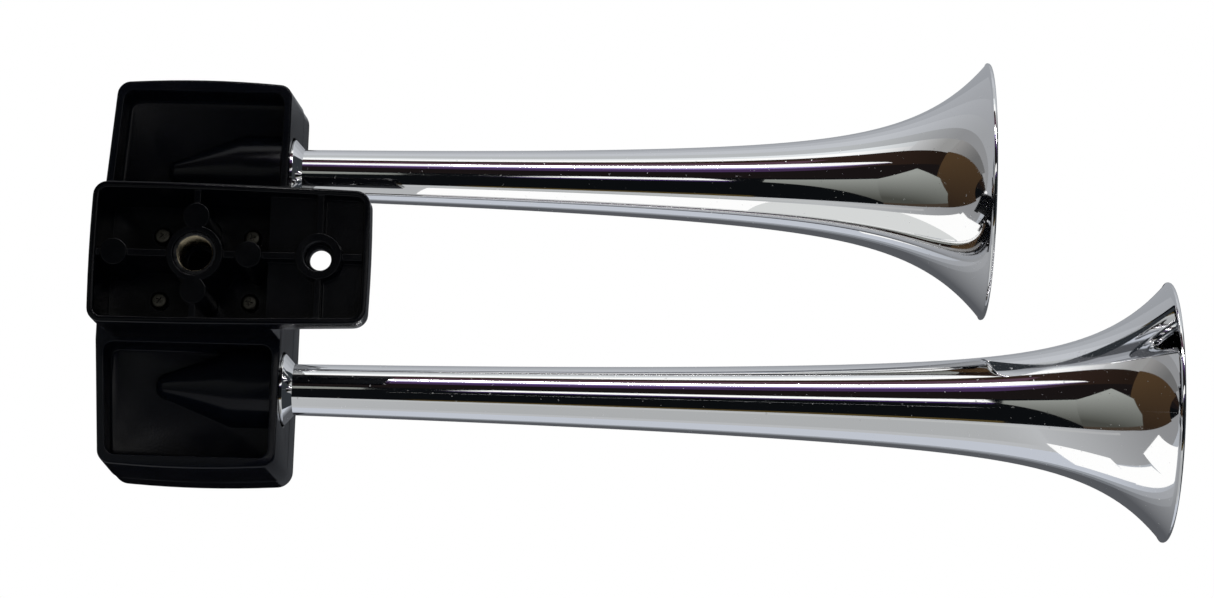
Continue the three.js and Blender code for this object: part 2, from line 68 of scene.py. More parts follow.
# %% Camera
lens_mm = 98.244
camera_right = Vector((0.99934818, -0.02952278, 0.02077566))
camera_down = Vector((0.02517076, 0.98237455, 0.18522061))
camera_forward = Vector((-0.02587771, -0.18457694, 0.98247733))
camera_place = Vector((0.207595, 0.306088, -1.537266))
camera_data = bpy.data.cameras.new("photo_camera")
camera_data.lens = lens_mm
camera_data.sensor_width = 36
camera_data.clip_start = 0.05
camera_data.clip_end = 60
camera = bpy.data.objects.new("photo_camera", camera_data)
bpy.context.scene.collection.objects.link(camera)
axes = Matrix((camera_right, -camera_down, -camera_forward)).transposed()
camera.matrix_world = Matrix.Translation(camera_place) @ axes.to_4x4()
bpy.context.scene.camera = camera
bpy.context.scene.view_settings.view_transform = "Standard"
print("camera set, lens", camera_data.lens)

# %% [markdown]
# ## The floor and the background
#
# The floor is a plain pale sheet at the height of the foot. The photograph looks up through it,
# so the sheet is one-sided: it is there for eyes above it and lets everything through from below.
# Mirror-like surfaces don't see it either, because the real horn hung free when it was shot.

# %% Floor and world
def new_material(name):
    """An empty material with its node tree, ready for nodes."""
    material = bpy.data.materials.new(name)
    material.use_nodes = True
    material.node_tree.nodes.clear()
    return material, material.node_tree.nodes, material.node_tree.links


def add_node(nodes_of, kind, **settings):
    """One shader node; names that match a socket set it, the rest are the node's own settings."""
    node = nodes_of.new(kind)
    for key, value in settings.items():
        if key in node.inputs:
            node.inputs[key].default_value = value
        else:
            setattr(node, key, value)
    return node


def any_of(n, l, answers):
    """One where any of several yes-or-no sockets says one."""
    found = answers[0]
    for answer in answers[1:]:
        either = add_node(n, "ShaderNodeMath", operation="MAXIMUM")
        l.new(found, either.inputs[0])
        l.new(answer, either.inputs[1])
        found = either.outputs[0]
    return found


def blend_shaders(n, l, share, first, second, output):
    """Mixes two shaders by a share and sends the mix to an output node."""
    mix = add_node(n, "ShaderNodeMixShader")
    l.new(share, mix.inputs[0])
    l.new(first.outputs[0], mix.inputs[1])
    l.new(second.outputs[0], mix.inputs[2])
    out = add_node(n, output)
    l.new(mix.outputs[0], out.inputs["Surface"])


floor_paint, n, l = new_material("floor_paint")
paint = add_node(n, "ShaderNodeBsdfDiffuse", Color=(0.86, 0.86, 0.87, 1))
clear = add_node(n, "ShaderNodeBsdfTransparent")
side = add_node(n, "ShaderNodeNewGeometry")
ray = add_node(n, "ShaderNodeLightPath")
passing = [ray.outputs[f"Is {kind} Ray"] for kind in ("Shadow", "Glossy", "Transmission")]
through = any_of(n, l, [side.outputs["Backfacing"], *passing])
blend_shaders(n, l, through, paint, clear, "ShaderNodeOutputMaterial")

bpy.ops.object.select_all(action="DESELECT")
floor_size, floor_place = 12, (0.18, 0, -0.0006)
bpy.ops.mesh.primitive_plane_add(size=floor_size, location=floor_place)
floor = bpy.context.object
floor.name = "floor"
floor.data.materials.append(floor_paint)

world = bpy.data.worlds.new("studio")
bpy.context.scene.world = world
world.use_nodes = True
n, l = world.node_tree.nodes, world.node_tree.links
n.clear()
ray = add_node(n, "ShaderNodeLightPath")
shown = any_of(n, l, [ray.outputs[f"Is {kind} Ray"] for kind in ("Camera", "Transmission", "Glossy")])
soft = add_node(n, "ShaderNodeBackground", Color=(0.94, 0.97, 1.0, 1), Strength=0.45)
backdrop = add_node(n, "ShaderNodeBackground", Color=(1, 1, 1, 1), Strength=1)
blend_shaders(n, l, shown, soft, backdrop, "ShaderNodeOutputWorld")
print("floor and world ready")

# %% [markdown]
# ## The room in the chrome
#
# Chrome has no colour of its own: it shows the room. A bell squeezes half a room into a hand's
# width, and each shape in it tells in which direction something light or dark stood. Here each
# direction is given as two angles in degrees: one round the trumpets' axis, from straight below
# (0) towards +Y (90), and one towards +X, negative because the bells look back along the horn.
# The room becomes a set of curved cards on spheres round the horn. Only mirror-like rays meet
# them, so they neither light the horn nor stand in its views.

# %% Reflection cards
room_centre = Vector((0.3, 0, 0.067))
plating_share = 0.9


def linear(level):
    """A level of 0 to 255 as a picture stores it, as the light that shows so in the plating."""
    share = level / 255
    light = share / 12.92 if share <= 0.04045 else ((share + 0.055) / 1.055) ** 2.4
    return light / plating_share


def direction(around, along):
    """The unit vector at an angle round the X axis and an angle towards +X."""
    around, along = math.radians(around), math.radians(along)
    flat = math.cos(along)
    return Vector((math.sin(along), flat * math.sin(around), -flat * math.cos(around)))


def glow(name, levels, far_levels=None, fade=None, distance=1.0, strength=1):
    """A card's light: one colour, or a fade to a second one along X, Y or Z.

    The fade is its axis and the two angles, in degrees, at which it starts and ends.
    """
    material, n, l = new_material(name)
    light = add_node(n, "ShaderNodeEmission", Strength=strength)
    out = add_node(n, "ShaderNodeOutputMaterial")
    l.new(light.outputs[0], out.inputs["Surface"])
    near = (*(linear(level) for level in levels), 1)
    light.inputs["Color"].default_value = near
    if far_levels:
        axis, start, end = fade
        place = add_node(n, "ShaderNodeTexCoord")
        parts = add_node(n, "ShaderNodeSeparateXYZ")
        share = add_node(n, "ShaderNodeMapRange", **{
            "From Min": distance * math.sin(math.radians(start)),
            "From Max": distance * math.sin(math.radians(end)),
        })
        ramp = add_node(n, "ShaderNodeValToRGB")
        ramp.color_ramp.elements[0].color = near
        ramp.color_ramp.elements[1].color = (*(linear(level) for level in far_levels), 1)
        l.new(place.outputs["Object"], parts.inputs[0])
        l.new(parts.outputs[axis], share.inputs["Value"])
        l.new(share.outputs["Result"], ramp.inputs["Fac"])
        l.new(ramp.outputs["Color"], light.inputs["Color"])
    return material


def only_in_reflections(card):
    """Hides a card from every kind of ray but the mirror-like ones."""
    for ray_kind in ("camera", "diffuse", "shadow", "transmission", "volume_scatter"):
        setattr(card, "visible_" + ray_kind, False)


def add_card(name, corners, levels, far_levels=None, fade=None, *, distance, strength=1):
    """A curved card between four corners, given as angles, seen only in reflections."""
    cells = 16
    bpy.ops.mesh.primitive_grid_add(
        x_subdivisions=cells, y_subdivisions=cells, size=2, location=room_centre
    )
    card = bpy.context.object
    card.name = name
    corners = [Vector(corner) for corner in corners]
    for vertex in card.data.vertices:
        across, down = (vertex.co.x + 1) / 2, (vertex.co.y + 1) / 2
        start = corners[0].lerp(corners[3], down)
        end = corners[1].lerp(corners[2], down)
        vertex.co = distance * direction(*start.lerp(end, across))
    card.data.materials.append(glow(name, levels, far_levels, fade, distance, strength))
    only_in_reflections(card)


def add_sheet(name, corners, levels):
    """A flat card close to the horn, from four corners in millimetres."""
    bpy.ops.mesh.primitive_plane_add(size=1)
    sheet = bpy.context.object
    sheet.name = name
    for index, corner in zip((0, 1, 3, 2), corners):
        sheet.data.vertices[index].co = Vector(corner) * MM
    sheet.data.materials.append(glow(name, levels))
    only_in_reflections(sheet)


def band(start, end, high=80, low=-89):
    """The corners of a card that runs the whole length of the room."""
    return [(start, high), (end, high), (end, low), (start, low)]


# %% [markdown]
# ### Walls and what stands before them
#
# The walls, the ceiling and the dark end of the room are bands that run its whole length. What
# stands before them is smaller: windows, a table, white cloths, a grey sheet and two lamp tubes
# with their coloured fringes. Each stands a little closer than the one before it in the list, so
# it hides what it overlaps. The lamp tube's core is much brighter than white, as a real lamp is.
# The chrome shows it as plain white, and the black paint gets its soft highlights from it.

# %% Walls of the room
wall_distance = 6.0
walls = [
    ("dark_behind", band(140, 196), (84, 86, 90), (150, 152, 155), ("X", -16, -52)),
    ("right_turn", band(134, 140), (112, 115, 120), (155, 157, 160), ("X", -16, -52)),
    ("right_bend", band(128, 134), (148, 152, 158), (162, 164, 168), ("X", -16, -52)),
    ("right_high", band(96, 128), (190, 195, 204), (170, 174, 180), ("X", -16, -52)),
    ("right_wall", band(42, 96), (182, 184, 186), (138, 139, 141), ("X", -10, -75)),
    ("dark_room", band(-10, 42), (11, 13, 15)),
    ("dark_corner", band(-36, -10), (24, 20, 20)),
    ("brown_wall", band(-67, -36), (48, 35, 30), (34, 25, 20), ("X", -10, -50)),
    ("window_frame", band(-79, -67), (226, 230, 232), (146, 147, 148), ("X", -16, -50)),
    ("left_near", band(-94, -79), (182, 185, 187), (140, 141, 143), ("X", -10, -50)),
    ("left_wall", band(-110, -94), (190, 193, 198), (156, 158, 161), ("X", -12, -60)),
    ("left_bend", band(-124, -110), (178, 181, 186), (156, 158, 162), ("X", -12, -60)),
    ("left_turn", band(-140, -124), (165, 168, 173), (155, 157, 161), ("X", -12, -60)),
    ("left_high", band(-164, -140), (152, 155, 160)),
]
for name, corners, levels, *rest in walls:
    add_card(name, corners, levels, *rest, distance=wall_distance)

# %% What stands in front of the walls
white = (254, 254, 253)
tan, tan_shade = (73, 56, 38), (42, 32, 25)
grey, grey_shade = (150, 153, 148), (70, 71, 66)
furniture = [
    ("window", [(-72, 80), (-64.5, 80), (-64.5, -12), (-72, -12)], white),
    ("window_low", [(-72, -12), (-64.5, -12), (-62, -32), (-70, -32)], white,
     (196, 197, 198), ("X", -14, -32)),
    ("window_foot", [(-79, -31), (-62, -31), (-57, -54), (-79, -54)], (188, 189, 190),
     (148, 148, 147), ("X", -31, -46)),
    ("pale_low", [(-80, -53), (-57, -53), (-62, -80), (-80, -80)], (142, 141, 140),
     (106, 106, 106), ("X", -55, -70)),
    ("table", [(-59, -52), (43, -56), (50, -82), (-62, -82)], tan, tan_shade, ("Y", -22, 22)),
    ("table_edge", [(35, -29), (41.5, -29), (43, -62), (35, -62)], (66, 57, 48)),
    ("right_near", [(44, 80), (88, 80), (86, -15), (44, -15)], (171, 173, 174),
     (182, 184, 186), ("X", -7, -14)),
    ("right_rim", [(43.5, 80), (48.5, 80), (49.5, -46), (46, -46)], (184, 186, 186),
     (172, 173, 174), ("X", -12, -36)),
    ("cloth_high", [(78, -14), (116, -14), (120, -35), (88, -33)], white),
    ("cloth_middle", [(97, -34), (121, -34), (126, -55), (99, -53)], white),
    ("cloth_low", [(80, -54), (126, -54), (120, -74), (60, -70)], white),
    ("sheet_top", [(-7, -10), (0, -10), (38, -29), (-9, -27)], grey, grey_shade, ("Y", -15, 30)),
    ("sheet", [(-9, -27), (38, -29), (36, -62), (-28, -41)], grey, grey_shade, ("Y", -15, 24)),
    ("sheet_side", [(-28, -41), (36, -62), (16, -62.5), (-12, -56)], grey, grey_shade,
     ("Y", -15, 24)),
    ("lamp_shade", [(-60, 80), (-51, 80), (-48, -10), (-57, -13)], (84, 60, 74)),
    ("lamp", [(-51, 80), (-40.5, 80), (-40, -10), (-49.5, -10)], white),
    ("lamp_core", [(-47.5, 80), (-44.5, 80), (-44.2, -9), (-46.8, -9)], white),
    ("lamp_tip", [(-49.5, -10), (-40, -10), (-40.5, -29), (-42.5, -27)], white),
    ("lamp_halo", [(-40.5, 80), (-37, 80), (-37, -8), (-40.3, -8)], (148, 126, 190)),
    ("halo_tip", [(-40.3, -8), (-37, -8), (-40, -28), (-41, -28)], (148, 126, 190),
     (96, 80, 110), ("X", -8, -24)),
    ("lamp_violet", [(-37, 80), (-28, 80), (-28, -8), (-37, -8)], (66, 46, 82)),
    ("violet_tip", [(-37, -8), (-28, -8), (-38.5, -27), (-40, -28)], (66, 46, 82),
     (50, 38, 42), ("X", -8, -20)),
    ("second_lamp", [(-24, 80), (-14, 80), (-2.5, -8.8), (-9, -8)], white),
    ("second_halo", [(-14, 80), (-9, 80), (1, -8.8), (-2.5, -8.8)], (64, 46, 92)),
    ("shelf", [(36, 80), (42.5, 80), (42.5, -9.5), (38, -9.5)], (78, 66, 36)),
]
strengths = {"lamp_core": 20}
first_distance, closer_by = 5.6, 0.06
for number, (name, corners, levels, *rest) in enumerate(furniture):
    add_card(
        name, corners, levels, *rest,
        distance=first_distance - closer_by * number, strength=strengths.get(name, 1)
    )
end_distance = 3.9
add_card("far_end", band(-180, 180, 89, 50), (46, 50, 54), distance=end_distance)

# %% [markdown]
# ### What stands close to the horn
#
# Some reflections show in one trumpet and not in the other, so what they show is close by. A dark
# cloth hangs above the castings. A ledge beside the long trumpet is white at first and pale grey
# further on. It is set edge-on to the camera, in the plane of the long trumpet's axis, so only
# the short trumpet shows it.

# %% Cloth and ledge
add_sheet(
    "dark_cloth",
    [(-130, -160, 160), (3, -160, 160), (3, 160, 160), (-130, 160, 160)],
    (10, 10, 12),
)
ledge_low, ledge_high = (69.5, -32), (57, 48)
for name, start, end, levels in (
    ("white_ledge", 58, 222, (253, 253, 252)),
    ("pale_ledge", 222, 345, (212, 214, 213)),
):
    corners = [(start, *ledge_low), (end, *ledge_low), (end, *ledge_high), (start, *ledge_high)]
    add_sheet(name, corners, levels)
print("cards on the spheres:", len(walls) + len(furniture) + 1)

# %% [markdown]
# ## Soft light
#
# Large soft lamps light the castings from above and from below at a plain level. Chrome would show
# them as hard white squares, so mirror-like rays don't meet them.

# %% Lamps
horn_middle = Vector((0.1, 0, 0.05))


def add_lamp(name, location, size, power):
    """A square soft lamp that points at the horn's middle."""
    data = bpy.data.lights.new(name, "AREA")
    data.size = size
    data.energy = power
    lamp = bpy.data.objects.new(name, data)
    bpy.context.scene.collection.objects.link(lamp)
    towards = horn_middle - Vector(location)
    lamp.location = location
    lamp.rotation_mode = "QUATERNION"
    lamp.rotation_quaternion = towards.to_track_quat("-Z", "Y")
    lamp.visible_glossy = False


add_lamp("key_above", (-1.2, -1.6, 2.6), 2.2, 60)
add_lamp("fill_above", (1.8, 1.6, 2.2), 2.2, 30)
add_lamp("below", (0.4, 0.9, -1.9), 1.6, 20)
print("lamps ready")

# %% [markdown]
# ## Finishes
#
# Every finish is made of nodes that read the object's own coordinates, so its pattern stays on
# the piece from any side. Amounts that are the same all over are set on the shader's own sockets.

# %% A shader with its output
def principled(name, **settings):
    """A finish that starts as one plain Principled shader, and what is needed to add to it."""
    material, n, l = new_material(name)
    shader = add_node(n, "ShaderNodeBsdfPrincipled", **settings)
    out = add_node(n, "ShaderNodeOutputMaterial")
    l.new(shader.outputs[0], out.inputs["Surface"])
    return material, n, l, shader


def speckle(n, l, scale, low, high, detail=3.0, within=(0.3, 0.7)):
    """Noise in the piece's own coordinates, its values within two limits spread from low to high."""
    place = add_node(n, "ShaderNodeTexCoord")
    noise = add_node(n, "ShaderNodeTexNoise", Scale=scale, Detail=detail)
    start, end = within
    spread = add_node(
        n, "ShaderNodeMapRange", **{"From Min": start, "From Max": end, "To Min": low, "To Max": high}
    )
    l.new(place.outputs["Object"], noise.inputs["Vector"])
    l.new(noise.outputs["Fac"], spread.inputs["Value"])
    return spread.outputs["Result"]


def dimple(n, l, shader, height, strength, distance):
    """Bump on a shader from a height."""
    bump = add_node(n, "ShaderNodeBump", Strength=strength, Distance=distance)
    l.new(height, bump.inputs["Height"])
    l.new(bump.outputs["Normal"], shader.inputs["Normal"])


def ring_mask(n, l, centre, radius):
    """One outside a radius from an upright axis, in the piece's own coordinates, else nought."""
    place = add_node(n, "ShaderNodeTexCoord")
    offset = add_node(n, "ShaderNodeVectorMath", operation="SUBTRACT")
    offset.inputs[1].default_value = centre
    level = add_node(n, "ShaderNodeVectorMath", operation="MULTIPLY")
    level.inputs[1].default_value = (1, 1, 0)
    reach = add_node(n, "ShaderNodeVectorMath", operation="LENGTH")
    outside = add_node(n, "ShaderNodeMath", operation="GREATER_THAN")
    outside.inputs[1].default_value = radius
    l.new(place.outputs["Object"], offset.inputs[0])
    l.new(offset.outputs[0], level.inputs[0])
    l.new(level.outputs[0], reach.inputs[0])
    l.new(reach.outputs["Value"], outside.inputs[0])
    return outside.outputs[0]


# %% [markdown]
# ### Gloss black casting
#
# The castings are die-cast aluminium under smooth black paint. The paint shines, but it isn't a
# perfect mirror: it has a faint orange-peel skin, and its shine varies a little from place to place.

# %% Gloss black
black_paint = (0.0014, 0.0019, 0.0034, 1)
black, n, l, shader = principled(
    "gloss_black_casting",
    **{"Base Color": black_paint, "IOR": 1.5, "Specular IOR Level": 0.2}
)
l.new(speckle(n, l, 60, 0.13, 0.24), shader.inputs["Roughness"])
dimple(n, l, shader, speckle(n, l, 900, 0, 1, 2), 0.12, 0.0001)

# %% [markdown]
# ### Chrome
#
# Plated brass, polished to a mirror. Its own colour is nearly neutral, and what keeps it from
# looking computed is a very faint waviness of the sheet, thin smears in the polish and a few
# grains of dust, which scatter the light where the rest mirrors it.

# %% Chrome
chrome, n, l, shader = principled(
    "chrome_plate", **{"Base Color": (0.9, 0.9, 0.905, 1), "Metallic": 1.0}
)
polish = speckle(n, l, 35, 0.015, 0.05)
dust = speckle(n, l, 650, 0, 0.3, 1, within=(0.72, 0.78))
rough = add_node(n, "ShaderNodeMath", operation="ADD")
l.new(polish, rough.inputs[0])
l.new(dust, rough.inputs[1])
l.new(rough.outputs[0], shader.inputs["Roughness"])
dimple(n, l, shader, speckle(n, l, 18, 0, 1, 1), 0.012, 0.0004)

# %% [markdown]
# ### Brass, zinc, rubber and spring steel
#
# The small pieces are plainer. The insert is dull brass in its bore, but its face was painted with
# the foot, so a mask by the distance from the port's axis changes over from metal to paint. In the
# end every node gets the finish of its slot, also those that stay as they were measured: the
# seals, gaskets, diaphragms, caps and the caps' screws, which are shut in and can't be seen.

# %% Brass insert
port_x, paint_edge = -29.5 * MM, 8.6 * MM
dull_brass = (0.34, 0.29, 0.2, 1)
brass, n, l, shader = principled("brass_insert", **{"Base Color": dull_brass, "Metallic": 1.0})
l.new(speckle(n, l, 300, 0.2, 0.38), shader.inputs["Roughness"])
painted = ring_mask(n, l, (port_x, 0, 0), paint_edge)
colour = add_node(n, "ShaderNodeMix", data_type="RGBA", A=dull_brass, B=black_paint)
bare = add_node(n, "ShaderNodeMath", operation="SUBTRACT")
bare.inputs[0].default_value = 1
l.new(painted, colour.inputs["Factor"])
l.new(colour.outputs["Result"], shader.inputs["Base Color"])
l.new(painted, bare.inputs[1])
l.new(bare.outputs[0], shader.inputs["Metallic"])

# %% Screws, diaphragms and seals
# The screws' base colour is zinc's own dull grey, set much darker than bright plating as painted
# shade: it dims the foot screws as if lit only by the little light deep in the foot's pocket.
zinc_darkened_as_shade, n, l, shader = principled(
    "zinc_screws", **{"Base Color": (0.1, 0.096, 0.08, 1), "Metallic": 1.0}
)
l.new(speckle(n, l, 400, 0.28, 0.45), shader.inputs["Roughness"])
steel, n, l, shader = principled(
    "spring_steel", **{"Base Color": (0.52, 0.52, 0.54, 1), "Metallic": 1.0}
)
l.new(speckle(n, l, 250, 0.2, 0.35), shader.inputs["Roughness"])
rubber, n, l, shader = principled("black_rubber", **{"Base Color": (0.012, 0.012, 0.013, 1)})
l.new(speckle(n, l, 500, 0.6, 0.8), shader.inputs["Roughness"])

# %% Give every node its finish
finish_of = {
    "gloss_black_casting": black,
    "chrome_plate": chrome,
    "brass_insert": brass,
    "zinc_screws": zinc_darkened_as_shade,
    "black_rubber": rubber,
    "spring_steel": steel,
}
slot_of = {part["node"]: part["material_slot"] for part in frame["record"]["subparts"]}
for node_name, slot in slot_of.items():
    nodes[node_name].data.materials.clear()
    nodes[node_name].data.materials.append(finish_of[slot])
print("finishes:", len(finish_of))

# %% [markdown]
# ## Tools of the bench
#
# Every piece is modelled as by hand: a primitive, then edit mode with a selection made in code.
# These few helpers hold what each piece repeats.

# %% Selecting
def only(piece):
    """Selects one piece, and no other, in object mode."""
    bpy.ops.object.select_all(action="DESELECT")
    piece.select_set(True)
    bpy.context.view_layer.objects.active = piece
    return piece


def edit(piece):
    """Opens one piece in edit mode."""
    only(piece)
    bpy.ops.object.mode_set(mode="EDIT")


def done():
    """Leaves edit mode."""
    bpy.ops.object.mode_set(mode="OBJECT")


def pick(piece, kind, wanted):
    """In edit mode, selects the edges or faces that a test wants."""
    bpy.ops.mesh.select_mode(type=kind)
    bpy.ops.mesh.select_all(action="DESELECT")
    mesh = bmesh.from_edit_mesh(piece.data)
    for part in {"EDGE": mesh.edges, "FACE": mesh.faces}[kind]:
        if wanted(part):
            part.select_set(True)
    bmesh.update_edit_mesh(piece.data)


def near(a, b):
    """Whether two values agree within a fiftieth of a millimetre."""
    return abs(a - b) < 0.02 * MM


def level_edge(z):
    """A test for edges that lie at one height."""
    return lambda edge: all(near(vertex.co.z, z) for vertex in edge.verts)


def level_corner(z):
    """A test for edges at one height where two faces meet at a corner."""
    def wanted(edge):
        faces = edge.link_faces
        return level_edge(z)(edge) and len(faces) == 2 and faces[0].normal.dot(faces[1].normal) < 0.5
    return wanted


def facing(direction, at, where=lambda centre: True):
    """A test for faces at one height that look along +Z (1) or -Z (-1)."""
    def wanted(face):
        centre = face.calc_center_median()
        return face.normal.z * direction > 0.9 and near(centre.z, at) and where(centre)
    return wanted


# %% Pulling, and moving vertices by a rule
def pull(x, y, z):
    """In edit mode, extrudes what is selected by a distance along each axis."""
    bpy.ops.mesh.extrude_region_move(TRANSFORM_OT_translate={"value": (x, y, z)})


def shift(piece, rule):
    """Moves each vertex by what a rule gives for its place, all that share a move together."""
    mesh = bmesh.from_edit_mesh(piece.data)
    moves = {}
    for vertex in mesh.verts:
        move = rule(vertex.co)
        if Vector(move).length > 0.001 * MM:
            moves.setdefault(tuple(round(value, 7) for value in move), []).append(vertex.index)
    bpy.ops.mesh.select_mode(type="VERT")
    for move, members in moves.items():
        bpy.ops.mesh.select_all(action="DESELECT")
        mesh = bmesh.from_edit_mesh(piece.data)
        mesh.verts.ensure_lookup_table()
        for index in members:
            mesh.verts[index].select_set(True)
        bmesh.update_edit_mesh(piece.data)
        bpy.ops.transform.translate(value=move)


# %% Starting shapes
def add_block(name, low, high, corner=0.0, steps=6):
    """An upright block between two corners, with rounded vertical edges."""
    bpy.ops.object.select_all(action="DESELECT")
    size = [b - a for a, b in zip(low, high)]
    middle = [(a + b) / 2 for a, b in zip(low, high)]
    bpy.ops.mesh.primitive_cube_add(size=1, location=middle, scale=size)
    block = only(bpy.context.object)
    block.name = name
    bpy.ops.object.transform_apply(location=True, rotation=True, scale=True)
    if corner:
        edit(block)
        height = size[2] / 2
        pick(block, "EDGE", lambda edge: abs(edge.verts[0].co.z - edge.verts[1].co.z) > height)
        bpy.ops.mesh.bevel(offset=corner, segments=steps, affect="EDGES")
        done()
    return block


def add_rod(name, centre, radius, low, high, steps):
    """An upright cylinder between two heights."""
    bpy.ops.object.select_all(action="DESELECT")
    bpy.ops.mesh.primitive_cylinder_add(
        vertices=steps, radius=radius, depth=high - low, location=(*centre, (low + high) / 2)
    )
    rod = only(bpy.context.object)
    rod.name = name
    bpy.ops.object.transform_apply(location=True, rotation=True, scale=True)
    return rod


def slice_across(piece, places, axis):
    """Cuts new edges across a piece at places along X or Y, without taking anything away."""
    edit(piece)
    normal = (1, 0, 0) if axis == "X" else (0, 1, 0)
    for place in places:
        bpy.ops.mesh.select_all(action="SELECT")
        point = tuple(place * part for part in normal)
        bpy.ops.mesh.bisect(plane_co=point, plane_no=normal)
    done()


def turn_profile(name, profile, centre_y, centre_z, steps):
    """A body turned about an axis along X, from [x, radius] points."""
    bpy.ops.object.select_all(action="DESELECT")
    bpy.ops.mesh.primitive_plane_add(size=MM)
    piece = bpy.context.object
    piece.name = name
    edit(piece)
    bpy.ops.mesh.merge(type="CENTER")
    bpy.ops.mesh.select_mode(type="VERT")
    bpy.ops.mesh.select_all(action="SELECT")
    place = Vector((profile[0][0], centre_y, centre_z + profile[0][1]))
    bpy.ops.transform.translate(value=place)
    for (x0, r0), (x1, r1) in zip(profile, profile[1:]):
        pull(x1 - x0, 0, r1 - r0)
    bpy.ops.mesh.select_all(action="SELECT")
    bpy.ops.mesh.spin(
        steps=steps, angle=2 * math.pi, center=(0, centre_y, centre_z), axis=(1, 0, 0)
    )
    bpy.ops.mesh.select_all(action="SELECT")
    bpy.ops.mesh.remove_doubles(threshold=0.002 * MM)
    bpy.ops.mesh.normals_make_consistent(inside=False)
    done()
    return piece


# %% Joining, cutting and finishing
def combine(piece, tool, operation):
    """Joins a tool to a piece, or cuts it out, and puts the tool away."""
    only(piece)
    modifier = piece.modifiers.new("combine", "BOOLEAN")
    modifier.operation = operation
    modifier.solver = "EXACT"
    modifier.object = tool
    bpy.ops.object.modifier_apply(modifier=modifier.name)
    bpy.data.objects.remove(tool)


def join(piece, *tools):
    """Joins tools to a piece, one after another."""
    for tool in tools:
        combine(piece, tool, "UNION")


def cut(piece, *tools):
    """Cuts tools out of a piece, one after another."""
    for tool in tools:
        combine(piece, tool, "DIFFERENCE")


def tidy(piece, angle=0.3):
    """Dissolves the edges that booleans leave on flat faces, and closes doubles.

    Exact booleans can fail on the many-cornered faces that this leaves, so the foot and the body
    get it after their last join and cut.
    """
    edit(piece)
    bpy.ops.mesh.select_all(action="SELECT")
    bpy.ops.mesh.remove_doubles(threshold=0.004 * MM)
    bpy.ops.mesh.dissolve_limited(angle_limit=math.radians(angle))
    done()


def smooth(piece, angle):
    """Shades a piece smooth, apart from edges that are sharper than an angle in degrees."""
    only(piece)
    bpy.ops.object.shade_smooth_by_angle(angle=math.radians(angle))


def round_edges(piece, width):
    """Rounds every sharp edge, and keeps the flats flat."""
    angle = 38
    smooth(piece, angle)
    modifier = piece.modifiers.new("round", "BEVEL")
    modifier.width = width
    modifier.segments = 3
    modifier.limit_method = "ANGLE"
    modifier.angle_limit = math.radians(angle)
    modifier.use_clamp_overlap = False
    modifier.harden_normals = True
    bpy.ops.object.modifier_apply(modifier=modifier.name)


def fit(piece, node_name):
    """Puts a finished piece in the place of its node, on the horn's one fixed body."""
    piece.data.materials.clear()
    piece.data.materials.append(finish_of[slot_of[node_name]])
    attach(piece, "horn")
    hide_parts(node_name)
    low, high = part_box(node_name)
    corners = [vertex.co for vertex in piece.data.vertices]
    beyond = max(
        max(low[i] - min(c[i] for c in corners), max(c[i] for c in corners) - high[i])
        for i in range(3)
    )
    print(f"{piece.name}: {len(piece.data.polygons)} faces, {beyond / MM:.2f} mm beyond its node")


# %% [markdown]
# ## Trumpets
#
# Each trumpet is one brass tube, drawn out, spun into a bell, rolled at its lip and plated. Its
# outline is a slow flare and a quick one near the mouth, so a curve would need many handles. It
# is simpler to extrude one vertex along the measured outline and spin it about the trumpet's
# axis. The shine shows every facet, so the spin has many steps.

# %% Trumpet sizes
trumpet_y = 54 * MM
trumpet_height = 67 * MM
body_front = 7.4 * MM
mouth_radius = 63.5 * MM
horn_wall = 1.5 * MM
lip_radius = 1.3 * MM
collar_radius = 17.4 * MM
collar_back = body_front - 3.4 * MM
collar_front = body_front + 1.2 * MM
collar_taper = 4.6 * MM
collar_round = 0.5 * MM
spigot_radius, spigot_chamfer = 12 * MM, 0.6 * MM
spigot_end = body_front - 21.6 * MM
tube_radius = 10.6 * MM
quick_flare, quick_reach = 33 * MM, 29.8 * MM
slow_flare, slow_share = mouth_radius - 43.6 * MM, 0.428
mouths = {"long": (439 * MM, 1), "short": (350 * MM, -1)}


def flare(x, mouth):
    """The trumpet's outer radius at a place along it: a tube, a slow flare and a quick one."""
    quick = quick_flare * math.exp((x - mouth) / quick_reach)
    slow = slow_flare * math.exp((x - mouth) / (slow_share * (mouth - body_front)))
    return tube_radius + quick + slow


def arc(x, radius, reach, start, end, steps=4):
    """Points of an arc in the outline, with its angles in degrees from the +X direction."""
    angles = [math.radians(start + (end - start) * i / steps) for i in range(steps + 1)]
    return [(x + reach * math.cos(a), radius + reach * math.sin(a)) for a in angles]


# %% Spin the trumpets
def trumpet_profile(mouth):
    """The closed outline, from the spigot along the outside to the lip and back inside."""
    flare_start = collar_front + collar_taper
    count, crowding = 72, 1.7
    shares = [1 - (1 - i / count) ** crowding for i in range(count + 1)]
    stations = [flare_start + share * (mouth - flare_start) for share in shares]
    outside = [(x, flare(x, mouth)) for x in stations if x < mouth - 0.4 * lip_radius]
    inside = [(x, flare(x, mouth) - horn_wall) for x in stations if x < mouth - lip_radius][::2]
    bore = flare(flare_start, mouth) - horn_wall
    return [
        (spigot_end, bore),
        (spigot_end, spigot_radius - spigot_chamfer),
        (spigot_end + spigot_chamfer, spigot_radius),
        (collar_back, spigot_radius),
        *arc(collar_back + collar_round, collar_radius - collar_round, collar_round, 180, 90),
        *arc(collar_front, collar_radius - collar_round, collar_round, 90, 45),
        *outside,
        *arc(mouth, mouth_radius - lip_radius, lip_radius, 110, -60, 12),
        *inside[::-1],
        (spigot_end, bore),
    ]


spin_steps = 144
for horn_name, (mouth, side) in mouths.items():
    profile, y = trumpet_profile(mouth), side * trumpet_y
    trumpet = turn_profile(horn_name + "_trumpet_spun", profile, y, trumpet_height, spin_steps)
    smooth(trumpet, 35)
    fit(trumpet, horn_name + "_trumpet")

